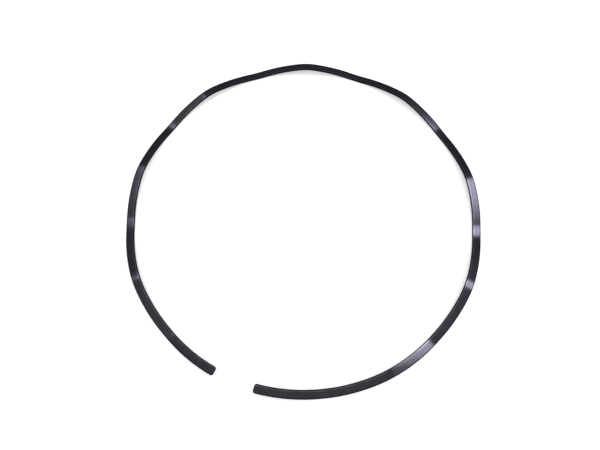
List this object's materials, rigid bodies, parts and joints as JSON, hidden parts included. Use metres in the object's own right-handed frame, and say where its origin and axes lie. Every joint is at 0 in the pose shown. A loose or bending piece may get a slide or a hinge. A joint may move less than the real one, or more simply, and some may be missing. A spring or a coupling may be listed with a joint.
{
  "type": "wave spring",
  "caption": "Single-turn gap-type wave spring of flat steel wire, coiled on edge, which preloads a bearing in its housing bore.",
  "frame": {"origin": "on the ring's axis, in the plane that the troughs rest on", "axes": "+Z along the ring's axis, up from the resting plane; the gap between the two ends faces -Y; +X to the right"},
  "size_m": [0.154, 0.1535, 0.0033],
  "materials": {
    "blued_spring_steel": "satin"
  },
  "bodies": {
    "root": {"wave_spring": "blued_spring_steel"}
  },
  "joints": []
}
